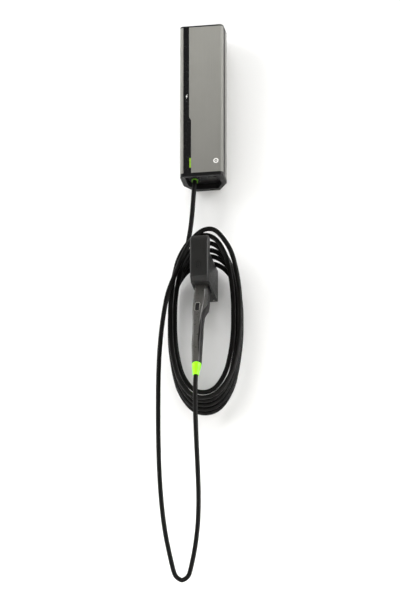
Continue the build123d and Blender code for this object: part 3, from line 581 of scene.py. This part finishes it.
def coil_points(per_quarter=3):
    """Corner points of the turns, which go left, bottom, right, top."""
    outward = 1 / math.cos(math.pi / 4 / per_quarter)
    y_step = COIL_PITCH / 4
    points = []

    def quarter(side_x, end_z, start_y, from_side):
        for i in range(per_quarter):
            f = (i + 0.5) / per_quarter
            angle = math.pi / 2 * (f if from_side else 1 - f)
            across = math.cos(angle) ** (2 / COIL_POWER)
            upright = math.sin(angle) ** (2 / COIL_POWER)
            points.append((COIL_MIDDLE_X + (side_x - COIL_MIDDLE_X) * across * outward,
                           start_y - y_step * f,
                           COIL_MIDDLE_Z + (end_z - COIL_MIDDLE_Z) * upright * outward))

    y = COIL_START_Y
    for k, (left, bottom, right, top) in enumerate(COIL_TURNS):
        quarter(left, bottom, y, True)
        quarter(right, bottom, y - y_step, False)
        quarter(right, top, y - 2 * y_step, True)
        if k < len(COIL_TURNS) - 1:
            next_left = COIL_TURNS[k + 1][0]
            quarter(next_left, top, y - 3 * y_step, False)
        y -= COIL_PITCH
    return points


def sample_course(points, step):
    """Points about a step apart on the lines and arcs that round off a chain of corners."""
    points = [np.array(p, float) for p in points]
    last = len(points) - 1
    samples = []

    def add_line(start, end):
        count = max(1, int(np.linalg.norm(end - start) / step))
        samples.extend(start + (end - start) * i / count for i in range(count))

    current = points[0]
    for i in range(1, last):
        arc = fillet(points[i - 1], points[i], points[i + 1], math.inf,
                     share_before=0.9 if i == 1 else 0.5,
                     share_after=0.9 if i == last - 1 else 0.5)
        if arc is None:
            continue
        start, _, end, radius, turn = arc
        if np.linalg.norm(start - current) > 0.02:
            add_line(current, start)
        samples.extend(arc_points(arc, max(2, int(radius * turn / step)))[:-1])
        current = end
    add_line(current, points[-1])
    samples.append(points[-1])
    return np.array(samples)


def relax(path, rounds):
    """Evens out the curvature where two arcs meet, keeping the ends."""
    for _ in range(rounds):
        relaxed = path.copy()
        relaxed[2:-2] = 0.25 * path[1:-3] + 0.5 * path[2:-2] + 0.25 * path[3:-1]
        path = relaxed
    return path


def cable_tube(name, corners, rounds):
    """Closed tube along the course, its rings turned as little as possible."""
    path = relax(sample_course(corners, CABLE_STEP), rounds)
    tangents = np.gradient(path, axis=0)
    tangents /= np.linalg.norm(tangents, axis=1)[:, None]
    normal = np.cross(tangents[0], [0.3, 0.5, 0.81])
    normal /= np.linalg.norm(normal)
    angles = [2 * math.pi * k / CABLE_SIDES for k in range(CABLE_SIDES)]
    vertices = []
    for i, (point, tangent) in enumerate(zip(path, tangents)):
        if i:
            normal = normal - tangent * np.dot(normal, tangent)
            normal /= np.linalg.norm(normal)
        side = np.cross(tangent, normal)
        vertices += [(point + CABLE_RADIUS * (normal * math.cos(a) + side * math.sin(a))) / 1000
                     for a in angles]
    faces = grid_faces(len(path), CABLE_SIDES, closed=True)
    faces.append(tuple(reversed(range(CABLE_SIDES))))
    faces.append(tuple(range((len(path) - 1) * CABLE_SIDES, len(path) * CABLE_SIDES)))
    tube = add_mesh(name, vertices, faces)
    align_normals(tube)
    tube.data.materials.append(NODE_MATERIAL["charging_cable"])
    return tube


cable = cable_tube("cable_run", FEED + coil_points() + HANGING + [LOW_LEFT, LOWEST], rounds=12)
stand_in("charging_cable")
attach(cable, ROOT)

leg = cable_tube("cable_leg_to_plug",
                 [LOWEST, LOW_RIGHT] + RISING + [PLUG_OUT, PLUG_MIDDLE, PLUG_IN], rounds=6)
stand_in("cable_leg")
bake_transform(leg)

# ------------------------------------------------------------------ plug handle: sections
SECTIONS = np.array([
    # distance below the mouth, width, depth, forward offset,
    # width of the front facet as a share, radius of its corners
    (-26, 38.5, 57, -1, 0.95, 6.5),
    (0, 39, 58, -1, 0.95, 6.5),
    (25, 40.5, 60, -2, 0.94, 7.5),
    (45, 41.5, 63, -2.5, 0.93, 8.5),
    (70, 41, 67, 0.5, 0.91, 9.0),
    (90, 39.5, 56, 8.5, 0.90, 9.0),
    (118, 35, 43, 16.5, 0.88, 9.0),
    (156, 32, 38.5, 14.5, 0.86, 9.5),
    (185, 32, 37.5, 11, 0.86, 9.5),
    (213, 32, 37, 10.5, 0.86, 9.5),
    (251, 30, 31.5, 4, 0.88, 10.0),
    (283, 28.5, 28.5, 0, 0.9, 11.0),
], float)
WIDTH, DEPTH, FORWARD = 1, 2, 3         # columns of SECTIONS
# On the head the fold runs along the middle of the +X side, so the dark rear shell covers the back
# half of that side as painted shade; lower down the dark shell is the dark grip.
FOLD = np.array([
    # fold between the shells on the +X side: distance below the mouth,
    # then x and y from the section's middle
    (-26, 19, 2), (40, 19.5, 2), (62, 19.5, 0), (78, 19.5, -6), (92, 18.5, -14),
    (110, 16.5, -17.5), (140, 12.5, -18.5), (170, 9.2, -18.8), (200, 8.0, -18.5),
    (240, 9.5, -16), (283, 11, -10),
], float)
STATIONS = np.concatenate([np.arange(-26, 283, 2.5), [283.0]])
# how far the rear shell sinks in at the fold
FOLD_DEPTH = np.interp(STATIONS, [-26, 50, 78, 100, 150, 185, 220, 283],
                       [0, 0, 1.8, 4.0, 3.8, 2.4, 0.0, 0])
PARTING_GAP = 0.2               # taken off each shell along both partings
SHELL_THICKNESS = 0.0024        # metres


def monotone_cubic(xs, ys, x):
    """Cubic through (xs, ys) that doesn't overshoot."""
    n = len(xs)
    i = min(max(int(np.searchsorted(xs, x)) - 1, 0), n - 2)
    rises = [(ys[k + 1] - ys[k]) / (xs[k + 1] - xs[k]) for k in range(n - 1)]

    def slope(k):
        if k == 0:
            return rises[0]
        if k == n - 1:
            return rises[-1]
        if rises[k - 1] * rises[k] <= 0:
            return 0.0
        return 2 * rises[k - 1] * rises[k] / (rises[k - 1] + rises[k])

    h = xs[i + 1] - xs[i]
    t = (x - xs[i]) / h
    return ((2 * t ** 3 - 3 * t ** 2 + 1) * ys[i] + (t ** 3 - 2 * t ** 2 + t) * h * slope(i) +
            (-2 * t ** 3 + 3 * t ** 2) * ys[i + 1] + (t ** 3 - t ** 2) * h * slope(i + 1))


def section_value(s, column):
    return monotone_cubic(SECTIONS[:, 0], SECTIONS[:, column], s)


def front_y(s):
    """Local y of the front face at a distance below the mouth."""
    return -section_value(s, FORWARD) - section_value(s, DEPTH) / 2


def profile(width, depth, forward, facet_share, facet_radius):
    """Closed outline (x, y) from the front corner at -X round over +X and the back."""
    a, b = width / 2, depth / 2
    corners = [     # x, y, radius
        (-a * facet_share, -b, facet_radius), (a * facet_share, -b, facet_radius),
        (a, b * -0.10, 9.0), (a * 0.93, b * 0.80, 8.0), (a * 0.55, b, 9.0),
        (-a * 0.55, b, 9.0), (-a * 0.93, b * 0.80, 8.0), (-a, b * -0.10, 9.0)]
    n = len(corners)
    spots = [np.array(corner[:2]) for corner in corners]
    arcs = [fillet(spots[i - 1], spots[i], spots[(i + 1) % n], corners[i][2], 0.46, 0.46)
            for i in range(n)]
    outline = []
    for arc, following in zip(arcs, arcs[1:] + arcs[:1]):
        outline += arc_points(arc, 12)
        end, next_start = arc[2], following[0]
        outline += [end + (next_start - end) * k / 6 for k in range(1, 6)]
    outline = np.array(outline)
    outline[:, 1] -= forward
    return outline


class Outline:
    """Closed outline that can be looked up by the length walked along it."""

    def __init__(self, points):
        self.points = points
        self.closed = np.vstack([points, points[:1]])
        steps = np.linalg.norm(np.diff(self.closed, axis=0), axis=1)
        self.walked = np.concatenate([[0], np.cumsum(steps)])
        self.length = self.walked[-1]

    def point(self, t):
        return np.array([np.interp(t % self.length, self.walked, self.closed[:, i])
                         for i in (0, 1)])

    def normal(self, t):
        """Outward normal, from the points 0.8 mm to either side."""
        t = t % self.length
        along = self.point(t + 0.8) - self.point(t - 0.8)
        along /= max(1e-9, np.linalg.norm(along))
        return np.array((along[1], -along[0]))

    def nearest(self, x, y):
        gaps = np.hypot(self.points[:, 0] - x, self.points[:, 1] - y)
        return self.walked[int(np.argmin(gaps))]


def smooth_line(values, rounds=14):
    values = np.array(values, float)
    for _ in range(rounds):
        smoothed = values.copy()
        smoothed[1:-1] = 0.25 * values[:-2] + 0.5 * values[1:-1] + 0.25 * values[2:]
        values = smoothed
    return values


# ------------------------------------------------------------------ plug handle: two shells
SIZES = [[section_value(s, column) for column in range(1, 6)] for s in STATIONS]
OUTLINES = [Outline(profile(*size)) for size in SIZES]
LENGTHS = np.array([outline.length for outline in OUTLINES])

# where the shells part, as lengths walked: the fold on the +X side, the flank on the -X side
fold_parting, flank_parting = [], []
for s, outline, (width, _, forward, _, _) in zip(STATIONS, OUTLINES, SIZES):
    fold_x, fold_y = [np.interp(s, FOLD[:, 0], FOLD[:, column]) for column in (1, 2)]
    fold_parting.append(outline.nearest(fold_x, fold_y - forward))
    flank_parting.append(outline.nearest(-width / 2, -forward + 1.0) - outline.length)
fold_parting, flank_parting = smooth_line(fold_parting), smooth_line(flank_parting)


def handle_shell(name, node, columns, starts, ends, start_roll, end_roll):
    """Skin with thickness between two partings.

    A roll is the (depth, width) by which the skin sinks in towards that parting.
    """
    vertices = []
    start_depths, end_depths = [np.broadcast_to(roll[0], len(STATIONS))
                                for roll in (start_roll, end_roll)]
    for k, (s, outline) in enumerate(zip(STATIONS, OUTLINES)):
        first, last = starts[k] + PARTING_GAP, ends[k] - PARTING_GAP
        for i in range(columns):
            f = i / (columns - 1)
            f = f - 0.06 * math.sin(2 * math.pi * f)    # closer columns near the partings
            t = first + (last - first) * f
            sink = (start_depths[k] * math.exp(-((t - starts[k]) / start_roll[1]) ** 2) +
                    end_depths[k] * math.exp(-((ends[k] - t) / end_roll[1]) ** 2))
            x, y = outline.point(t) - outline.normal(t) * sink
            vertices.append(plug_metres(x, y, -s))
    shell = add_mesh(name, vertices, grid_faces(len(STATIONS), columns, closed=False))
    align_normals(shell)

    # an open skin may come out facing inwards: its middle face tells
    mesh = shell.data
    middles = np.array([np.mean([plug_metres(x, y, -s) for x, y in outline.points], axis=0)
                        for s, outline in zip(STATIONS, OUTLINES)])
    face = mesh.polygons[len(mesh.polygons) // 2]
    centre = np.array(face.center)
    middle = middles[int(np.argmin(np.linalg.norm(middles - centre, axis=1)))]
    if np.dot(np.array(face.normal), centre - middle) < 0:
        mesh.flip_normals()

    solidify = shell.modifiers.new("t", "SOLIDIFY")
    solidify.thickness = SHELL_THICKNESS
    solidify.offset = -1
    solidify.use_even_offset = False
    apply_modifiers(shell)
    shell.data.materials.append(NODE_MATERIAL[node])
    return shell


front_shell = handle_shell("plug_front_shell", "handle_front", columns=46,
                           starts=flank_parting, ends=fold_parting,
                           start_roll=(0.3, 1.2), end_roll=(0.45, 1.4))
rear_shell = handle_shell("plug_rear_shell", "handle_rear", columns=64,
                          starts=fold_parting, ends=flank_parting + LENGTHS,
                          start_roll=(FOLD_DEPTH, 5.2), end_roll=(0.35, 1.6))


# ------------------------------------------------------------------ openings in the front shell
def rounded_rect(width, height, radius, steps=6):
    a, b = width / 2 - radius, height / 2 - radius
    points = []
    for x, y, start in ((a, b, 0), (-a, b, 90), (-a, -b, 180), (a, -b, 270)):
        for i in range(steps + 1):
            angle = math.radians(start + 90 * i / steps)
            points.append((x + radius * math.cos(angle), y + radius * math.sin(angle)))
    return points


def cut_opening(shell, name, size, middle, outer_y, inner_y):
    """Cuts a rounded rectangle between two depths, each a function of the distance
    below the mouth."""
    outline = [(x + middle[0], z + middle[1]) for x, z in rounded_rect(*size)]
    n = len(outline)
    vertices = [plug_metres(x, y_at(-z), z) for y_at in (outer_y, inner_y) for x, z in outline]
    faces = [tuple(range(n)), tuple(range(2 * n - 1, n - 1, -1))]
    faces += [(k, n + k, n + (k + 1) % n, (k + 1) % n) for k in range(n)]
    cutter = add_mesh(name, vertices, faces, smooth=False)
    align_normals(cutter)
    boolean = shell.modifiers.new("cut", "BOOLEAN")
    boolean.operation = "DIFFERENCE"
    boolean.solver = "EXACT"
    boolean.object = cutter
    apply_modifiers(shell)
    bpy.data.objects.remove(cutter)


OPENINGS = (
    # cutter, (width, height, corner radius), (middle x, middle z), outer y, inner y
    # opening at the thumb button
    ("cutter", (16.4, 33.0, 5.2), (0.0, -90.0), lambda s: -60, lambda s: -20),
    # shallow recess below it
    ("cutter3", (13.0, 22.0, 2.2), (1.0, -121.0),
     lambda s: front_y(s) - 6.0, lambda s: front_y(s) + 0.7),
    # slot open to the top edge
    ("cutter2", (13.4, 60, 1.0), (0.0, 35.0), lambda s: -60, lambda s: -21.0),
    # pocket behind the skin for the latch lever's arm
    ("cutter4", (13.8, 54.0, 0.8), (0.0, -19.0),
     lambda s: max(-27.4, front_y(s) + 1.0), lambda s: -19.5),
)
for opening in OPENINGS:
    cut_opening(front_shell, *opening)

for shell, node in ((front_shell, "handle_front"), (rear_shell, "handle_rear")):
    smooth_faces(shell.data)
    shell.data.set_sharp_from_angle(angle=math.radians(30))
    stand_in(node)
    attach(shell, CONNECTOR)

# ------------------------------------------------------------------ plug head plate
HEAD_TOP, HEAD_BOTTOM = 25.6, 23.0
HEAD_SHARE = 0.97               # plate outline as a share of the topmost section
HEAD_HOLE_RADIUS = 15.1


def head_plate():
    """Flat ring that closes the top of the handle around the nose."""
    rim = OUTLINES[0].points
    n = len(rim)
    angles = [math.atan2(y, x) for x, y in rim]
    vertices = []
    for z in (HEAD_TOP, HEAD_BOTTOM):
        vertices += [plug_metres(x * HEAD_SHARE, y * HEAD_SHARE, z) for x, y in rim]
        vertices += [plug_metres(HEAD_HOLE_RADIUS * math.cos(a), HEAD_HOLE_RADIUS * math.sin(a), z)
                     for a in angles]
    faces = []
    for k in range(n):
        k2 = (k + 1) % n
        faces += [(k, k2, n + k2, n + k),
                  (2 * n + k2, 2 * n + k, 3 * n + k, 3 * n + k2),
                  (k2, k, 2 * n + k, 2 * n + k2),
                  (n + k, n + k2, 3 * n + k2, 3 * n + k)]
    plate = add_mesh("plug_head_plate", vertices, faces, smooth=False)
    align_normals(plate)
    plate.data.materials.append(NODE_MATERIAL["handle_rear"])
    return plate


head = head_plate()
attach(head, CONNECTOR)

# ------------------------------------------------------------------ cable boot
BOOT_BORE = 7.63                # radius
BOOT_TOP, BOOT_BOTTOM = -275.5, -326.0
BOOT_NECK_RADIUS, BOOT_NECK_END = 10.9, -283.2
TAPER_TOP, TAPER_LENGTH = -288.0, 36.5
TAPER_START_RADIUS, TAPER_END_RADIUS = 14.8, 9.6
GROOVES, FIRST_GROOVE, GROOVE_PITCH = 3, -310.0, 4.2
GROOVE_SHAPE = ((0.13, 0.8), (-0.25, 0.45), (-0.3, -0.3), (-0.08, -0.8))     # radius, z
BOOT_SIDES = 64


def cable_boot():
    """Tapering sleeve with ring grooves, turned about the plug's axis."""
    section = [(BOOT_BORE, BOOT_TOP), (BOOT_NECK_RADIUS, BOOT_TOP),
               (BOOT_NECK_RADIUS, BOOT_NECK_END), (14.5, BOOT_NECK_END), (14.9, -283.9),
               (14.95, -285.0), (TAPER_START_RADIUS, TAPER_TOP)]
    for k in range(GROOVES):
        z = FIRST_GROOVE - k * GROOVE_PITCH
        base = TAPER_START_RADIUS + ((TAPER_END_RADIUS - TAPER_START_RADIUS) *
                                     (TAPER_TOP - z) / TAPER_LENGTH)
        section += [(base + out, z + up) for out, up in GROOVE_SHAPE]
    section += [(9.7, -323.6), (9.3, -325.4), (8.7, BOOT_BOTTOM), (BOOT_BORE, BOOT_BOTTOM)]
    m = len(section)
    vertices, faces = [], []
    for i in range(BOOT_SIDES):
        angle = 2 * math.pi * i / BOOT_SIDES
        vertices += [plug_metres(radius * math.cos(angle), radius * math.sin(angle), z)
                     for radius, z in section]
        i2 = (i + 1) % BOOT_SIDES
        faces += [(i * m + k, i2 * m + k, i2 * m + (k + 1) % m, i * m + (k + 1) % m)
                  for k in range(m)]
    boot = add_mesh("plug_boot", vertices, faces)
    align_normals(boot)
    boot.data.materials.append(NODE_MATERIAL["cable_boot"])
    return boot


boot = cable_boot()
stand_in("cable_boot")
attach(boot, CONNECTOR)

# ------------------------------------------------------------------ rounded edges on CAD nodes
EDGE_WIDTHS = {
    "front_cover": 0.0005, "rear_housing": 0.0006, "middle_band": 0.0005,
    "top_cap": 0.0006, "bottom_cap": 0.0006, "holster_body": 0.0018,
    "holster_plate": 0.0004, "thumb_button": 0.0004, "supply_plug": 0.0008,
    "holster_socket": 0.0006, "lock_barrel": 0.0003, "window_strip": 0.0002,
    "gland_body": 0.0005}


def soften(obj, width):
    """Rounds sharp edges by modifiers, leaving the mesh as it is."""
    weld = obj.modifiers.new("weld", "WELD")
    weld.merge_threshold = 0.00002
    bevel = obj.modifiers.new("round", "BEVEL")
    bevel.width = width
    bevel.segments = 3
    bevel.limit_method = "ANGLE"
    bevel.angle_limit = math.radians(32)
    bevel.use_clamp_overlap = True
    bevel.miter_outer = "MITER_ARC"
    even = obj.modifiers.new("even", "WEIGHTED_NORMAL")
    even.mode = "FACE_AREA"
    even.weight = 100
    even.keep_sharp = False
    smooth_faces(obj.data)


for node, width in EDGE_WIDTHS.items():
    soften(NODES[node], width)

# ------------------------------------------------------------------ stage
WALL_Y, FLOOR_Z, WALL_TOP = 0.0006, -1.78, 3.0
HALF_WIDTH, FLOOR_FRONT = 5, -6


def one_sided(name, colour):
    """Matt paint that can't be seen from behind."""
    material = bpy.data.materials.new(name)
    material.use_nodes = True
    tree = material.node_tree
    paint = tree.nodes["Principled BSDF"]
    paint.inputs["Base Color"].default_value = rgb(colour)
    paint.inputs["Roughness"].default_value = 0.85
    paint.inputs["Specular IOR Level"].default_value = 0.15
    noise = add_node(tree, "ShaderNodeTexNoise", {"Scale": 380})
    bump = add_node(tree, "ShaderNodeBump", {
        "Strength": 0.12, "Distance": 0.0006, "Height": noise.outputs["Fac"]})
    tree.links.new(bump.outputs[0], paint.inputs["Normal"])
    clear = add_node(tree, "ShaderNodeBsdfTransparent", {})
    geometry = add_node(tree, "ShaderNodeNewGeometry", {})
    mix = add_node(tree, "ShaderNodeMixShader", {
        0: geometry.outputs["Backfacing"], 1: paint.outputs[0], 2: clear.outputs[0]})
    tree.links.new(mix.outputs[0], tree.nodes["Material Output"].inputs["Surface"])
    return material


def stage_plane(name, corners, paint_name, colour):
    plane = add_mesh(name, corners, [(0, 1, 2, 3)], smooth=False)
    plane.data.materials.append(one_sided(paint_name, colour))
    return plane


wall = stage_plane("wall", [
    (-HALF_WIDTH, WALL_Y, FLOOR_Z), (HALF_WIDTH, WALL_Y, FLOOR_Z),
    (HALF_WIDTH, WALL_Y, WALL_TOP), (-HALF_WIDTH, WALL_Y, WALL_TOP)], "wall_paint", "#f7f7f6")
floor = stage_plane("floor", [
    (-HALF_WIDTH, FLOOR_FRONT, FLOOR_Z), (HALF_WIDTH, FLOOR_FRONT, FLOOR_Z),
    (HALF_WIDTH, WALL_Y, FLOOR_Z), (-HALF_WIDTH, WALL_Y, FLOOR_Z)], "floor_pale", "#efeeec")

# ------------------------------------------------------------------ world
world = bpy.data.worlds.new("studio")
bpy.context.scene.world = world
world.use_nodes = True
background = world.node_tree.nodes["Background"]
background.inputs[0].default_value = (1.0, 1.0, 1.0, 1.0)
rays = add_node(world.node_tree, "ShaderNodeLightPath", {})
# slightly darker for reflections (To Max) than for all else (To Min)
brightness = add_node(world.node_tree, "ShaderNodeMapRange", {
    "To Min": 0.12, "To Max": 0.10, "Value": rays.outputs["Is Glossy Ray"]})
world.node_tree.links.new(brightness.outputs["Result"], background.inputs[1])


# ------------------------------------------------------------------ lights
def aim(direction):
    return direction.to_track_quat("-Z", "Y").to_euler()


# soft light from above and low from both sides, for a soft dark halo on the wall
SUNS = (
    # name, degrees to the right of the front, degrees up, strength, spread in degrees
    ("overhead", -6, 60, 2.5, 46),
    ("left_wide", -62, 22, 2.5, 44),
    ("right_wide", 60, 22, 1.1, 44),
)
for name, azimuth, elevation, strength, spread in SUNS:
    data = bpy.data.lights.new(name, "SUN")
    data.energy = strength
    data.angle = math.radians(spread)
    sun = add_object(name, data)
    a, e = math.radians(azimuth), math.radians(elevation)
    towards = Vector((math.sin(a) * math.cos(e), -math.cos(a) * math.cos(e), math.sin(e)))
    sun.rotation_euler = aim(-towards)
    sun.visible_glossy = False

# the tall strips show only as reflections along rounded edges
AREAS = (
    # name, place, target, (width, height), watts, lights diffuse surfaces
    ("right_strip", (2.5, -1.0, 0.0), (0.0, -0.1, -0.5), (0.6, 2.6), 85, False),
    ("left_strip", (-2.5, -1.2, 0.0), (0.0, -0.1, -0.5), (0.5, 2.6), 32, False),
    ("back_fill", (1.2, 3.0, 1.0), (0.0, 0.0, -0.6), (2.0, 2.0), 55, True),
)
for name, place, target, size, watts, diffuse in AREAS:
    data = bpy.data.lights.new(name, "AREA")
    data.shape = "RECTANGLE"
    data.size, data.size_y = size
    data.energy = watts
    lamp = add_object(name, data)
    lamp.location = place
    lamp.rotation_euler = aim(Vector(target) - Vector(place))
    lamp.visible_diffuse = diffuse

# ------------------------------------------------------------------ camera
# far off with a long lens, low and a little to the right, looking up
AZIMUTH, ELEVATION = math.radians(9.76), math.radians(23.05)
DISTANCE = 50.0
LENS_PER_METRE = 18.82          # focal length in mm per metre of distance
TARGET = Vector((-0.02544, 0.0, -0.64544))

forward = Vector((-math.sin(AZIMUTH) * math.cos(ELEVATION),
                  math.cos(AZIMUTH) * math.cos(ELEVATION), math.sin(ELEVATION)))
right = Vector((math.cos(AZIMUTH), math.sin(AZIMUTH), 0))
up = right.cross(forward)
camera_data = bpy.data.cameras.new("cam")
camera = add_object("cam", camera_data)
camera_data.sensor_width = 36
camera_data.lens = LENS_PER_METRE * DISTANCE
camera_data.clip_end = 400
turn = Matrix((right, up, -forward)).transposed().to_4x4()
camera.matrix_world = Matrix.Translation(TARGET - forward * DISTANCE) @ turn
scene = bpy.context.scene
scene.camera = camera
scene.view_settings.view_transform = "Standard"
scene.view_settings.look = "None"
